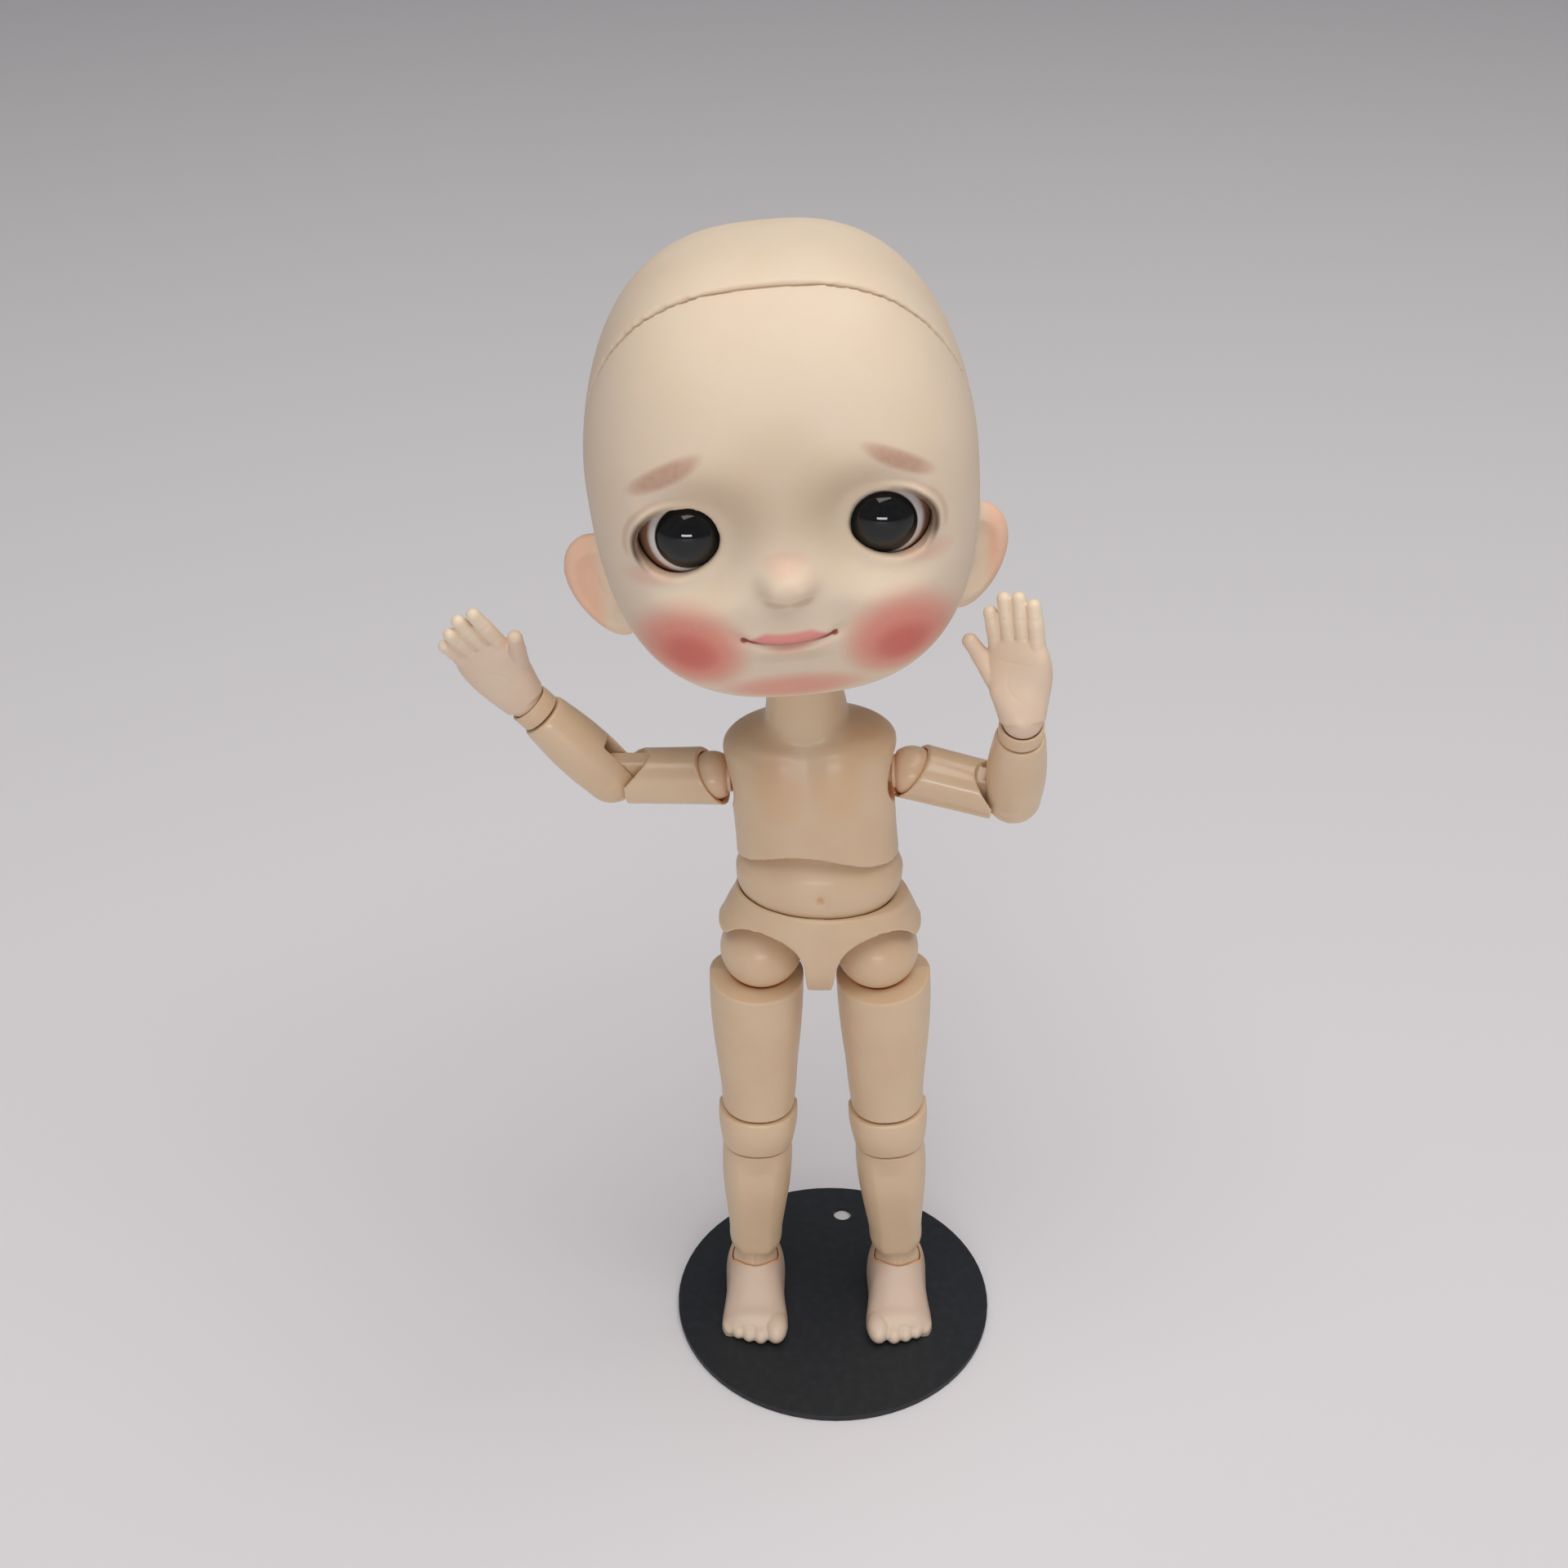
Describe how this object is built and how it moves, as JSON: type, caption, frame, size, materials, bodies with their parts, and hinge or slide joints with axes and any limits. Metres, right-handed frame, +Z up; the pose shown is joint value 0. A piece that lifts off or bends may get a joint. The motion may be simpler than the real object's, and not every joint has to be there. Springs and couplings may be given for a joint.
{
  "type": "ball jointed doll",
  "caption": "Small toddler-shaped ball jointed doll with a large removable-cap head, jointed neck, waist, arms, hips, double knees and ankles, standing on its own feet.",
  "frame": {"origin": "On the floor under the middle of the whole doll's box, in the pictured pose.", "axes": "+Z up, the doll faces -Y, and its own right hand is on the -X side."},
  "size_m": [0.0668, 0.0416, 0.1407],
  "materials": {
    "body_skin": "semi-gloss tan-cream moulded plastic",
    "head_skin": "matte cream resin with a painted face",
    "hand_skin": "semi-gloss pale pinkish plastic",
    "joint_skin": "semi-gloss warm tan plastic",
    "eye_glass": "glossy black eye",
    "putty": "soft brown putty",
    "steel": "small pins and magnets"
  },
  "bodies": {
    "pelvis": {"pelvis": "body_skin"},
    "belly": {"belly": "body_skin"},
    "chest": {"chest": "body_skin"},
    "neck_ball": {"neck_ball": "joint_skin"},
    "neck_cup": {"neck_cup": "joint_skin"},
    "head": {"head_shell": "head_skin", "right_eye": "eye_glass", "left_eye": "eye_glass", "right_eye_putty": "putty", "left_eye_putty": "putty", "right_shell_magnet": "steel", "left_shell_magnet": "steel"},
    "head_cap": {"head_cap": "head_skin", "right_cap_magnet": "steel", "left_cap_magnet": "steel"},
    "right_shoulder_ball": {"right_shoulder_ball": "joint_skin"},
    "right_upper_arm": {"right_upper_arm": "body_skin"},
    "right_forearm": {"right_forearm": "body_skin", "right_elbow_pin": "steel"},
    "right_wrist": {"right_wrist_cup": "hand_skin"},
    "right_hand": {"right_hand": "hand_skin"},
    "right_hip_ball": {"right_hip_ball": "joint_skin"},
    "right_thigh": {"right_thigh": "body_skin", "right_upper_knee_pin": "steel"},
    "right_knee": {"right_knee": "body_skin"},
    "right_shin": {"right_shin": "body_skin", "right_lower_knee_pin": "steel"},
    "right_ankle": {"right_ankle": "joint_skin"},
    "right_foot": {"right_foot": "hand_skin", "right_foot_magnet": "steel"},
    "left_shoulder_ball": {"left_shoulder_ball": "joint_skin"},
    "left_upper_arm": {"left_upper_arm": "body_skin"},
    "left_forearm": {"left_forearm": "body_skin", "left_elbow_pin": "steel"},
    "left_wrist": {"left_wrist_cup": "hand_skin"},
    "left_hand": {"left_hand": "hand_skin"},
    "left_hip_ball": {"left_hip_ball": "joint_skin"},
    "left_thigh": {"left_thigh": "body_skin", "left_upper_knee_pin": "steel"},
    "left_knee": {"left_knee": "body_skin"},
    "left_shin": {"left_shin": "body_skin", "left_lower_knee_pin": "steel"},
    "left_ankle": {"left_ankle": "joint_skin"},
    "left_foot": {"left_foot": "hand_skin", "left_foot_magnet": "steel"}
  },
  "joints": [
    {"name": "waist_bend", "type": "hinge", "parent": "pelvis", "child": "belly", "pos_m": [0.00888, -0.00006, 0.06642], "axis": [1, 0, -0.0096], "range_deg": [-15, 25]},
    {"name": "chest_turn", "type": "hinge", "parent": "belly", "child": "chest", "pos_m": [0.00861, -0.00006, 0.06993], "axis": [-0.0732, 0, 0.9973], "range_deg": [-8, 8]},
    {"name": "neck_turn", "type": "hinge", "parent": "chest", "child": "neck_ball", "pos_m": [0.00651, -0.00066, 0.09795], "axis": [-0.0732, 0, 0.9973], "range_deg": [-6, 25]},
    {"name": "neck_tilt", "type": "hinge", "parent": "neck_ball", "child": "neck_cup", "pos_m": [0.00651, -0.00066, 0.09795], "axis": [0.0696, 0.9976, 0.0051], "range_deg": [-6, 6]},
    {"name": "head_nod", "type": "hinge", "parent": "neck_cup", "child": "head", "pos_m": [0.00651, -0.00066, 0.09795], "axis": [0.9951, 0.014, 0.0976], "range_deg": [-8, 8]},
    {"name": "cap_lift", "type": "slide", "parent": "head", "child": "head_cap", "axis": [-0.0509, 0.9204, 0.3876], "range_m": [0, 0.04]},
    {"name": "right_arm_swing", "type": "hinge", "parent": "chest", "child": "right_shoulder_ball", "pos_m": [-0.00323, 0.00072, 0.07858], "axis": [0.9949, -0.0698, 0.0731], "range_deg": [-30, 60]},
    {"name": "right_arm_raise", "type": "hinge", "parent": "right_shoulder_ball", "child": "right_upper_arm", "pos_m": [-0.00323, 0.00072, 0.07858], "axis": [-0.0696, -0.9976, -0.0051], "range_deg": [-8, 40]},
    {"name": "right_elbow", "type": "hinge", "parent": "right_upper_arm", "child": "right_forearm", "pos_m": [-0.01473, 0.00194, 0.07777], "axis": [-0.0955, -0.9867, -0.1315], "range_deg": [-10, 45]},
    {"name": "right_wrist_twist", "type": "hinge", "parent": "right_forearm", "child": "right_wrist", "pos_m": [-0.02199, 0.00154, 0.08602], "axis": [-0.66, -0.0362, 0.7504], "range_deg": [-30, 30]},
    {"name": "right_wrist_bend", "type": "hinge", "parent": "right_wrist", "child": "right_hand", "pos_m": [-0.02397, 0.00144, 0.08827], "axis": [0.8575, 0, 0.5145], "range_deg": [-15, 15]},
    {"name": "right_hip_swing", "type": "hinge", "parent": "pelvis", "child": "right_hip_ball", "pos_m": [0.00212, -0.00006, 0.05519], "axis": [-0.9998, 0, 0.0208], "range_deg": [-8, 60]},
    {"name": "right_hip_spread", "type": "hinge", "parent": "right_hip_ball", "child": "right_thigh", "pos_m": [0.00212, -0.00006, 0.05519], "axis": [0, 1, 0], "range_deg": [-2, 20]},
    {"name": "right_upper_knee", "type": "hinge", "parent": "right_thigh", "child": "right_knee", "pos_m": [0.00165, 0.00054, 0.03249], "axis": [0.9998, 0, -0.0208], "range_deg": [0, 55]},
    {"name": "right_lower_knee", "type": "hinge", "parent": "right_knee", "child": "right_shin", "pos_m": [0.00147, 0.00054, 0.0241], "axis": [0.9998, 0, -0.0208], "range_deg": [0, 55]},
    {"name": "right_ankle_twist", "type": "hinge", "parent": "right_shin", "child": "right_ankle", "pos_m": [0.00107, -0.00006, 0.0046], "axis": [0.0208, 0, 0.9998], "range_deg": [-15, 15]},
    {"name": "right_ankle_pitch", "type": "hinge", "parent": "right_ankle", "child": "right_foot", "pos_m": [0.00107, -0.00006, 0.0046], "axis": [1, 0, 0], "range_deg": [-12, 12]},
    {"name": "left_arm_swing", "type": "hinge", "parent": "chest", "child": "left_shoulder_ball", "pos_m": [0.01906, -0.00084, 0.08022], "axis": [0.9949, -0.0698, 0.0731], "range_deg": [-5, 60]},
    {"name": "left_arm_raise", "type": "hinge", "parent": "left_shoulder_ball", "child": "left_upper_arm", "pos_m": [0.01906, -0.00084, 0.08022], "axis": [0.0696, 0.9976, 0.0051], "range_deg": [-3, 30]},
    {"name": "left_elbow", "type": "hinge", "parent": "left_upper_arm", "child": "left_forearm", "pos_m": [0.03026, -0.00324, 0.0784], "axis": [0.2505, 0.8984, 0.3608], "range_deg": [-6, 80]},
    {"name": "left_wrist_twist", "type": "hinge", "parent": "left_forearm", "child": "left_wrist", "pos_m": [0.03006, -0.00729, 0.08863], "axis": [-0.0184, -0.3682, 0.9296], "range_deg": [-30, 30]},
    {"name": "left_wrist_bend", "type": "hinge", "parent": "left_wrist", "child": "left_hand", "pos_m": [0.03, -0.00839, 0.09141], "axis": [0.9947, 0, 0.1031], "range_deg": [-10, 15]},
    {"name": "left_hip_swing", "type": "hinge", "parent": "pelvis", "child": "left_hip_ball", "pos_m": [0.01582, -0.00006, 0.05506], "axis": [-0.9972, 0, -0.0751], "range_deg": [-8, 60]},
    {"name": "left_hip_spread", "type": "hinge", "parent": "left_hip_ball", "child": "left_thigh", "pos_m": [0.01582, -0.00006, 0.05506], "axis": [0, -1, 0], "range_deg": [-2, 20]},
    {"name": "left_upper_knee", "type": "hinge", "parent": "left_thigh", "child": "left_knee", "pos_m": [0.01752, 0.00054, 0.03242], "axis": [0.9972, 0, 0.0751], "range_deg": [0, 55]},
    {"name": "left_lower_knee", "type": "hinge", "parent": "left_knee", "child": "left_shin", "pos_m": [0.01815, 0.00054, 0.02405], "axis": [0.9972, 0, 0.0751], "range_deg": [0, 55]},
    {"name": "left_ankle_twist", "type": "hinge", "parent": "left_shin", "child": "left_ankle", "pos_m": [0.01962, -0.00006, 0.0046], "axis": [-0.0751, 0, 0.9972], "range_deg": [-15, 15]},
    {"name": "left_ankle_pitch", "type": "hinge", "parent": "left_ankle", "child": "left_foot", "pos_m": [0.01962, -0.00006, 0.0046], "axis": [1, 0, 0], "range_deg": [-12, 12]}
  ]
}
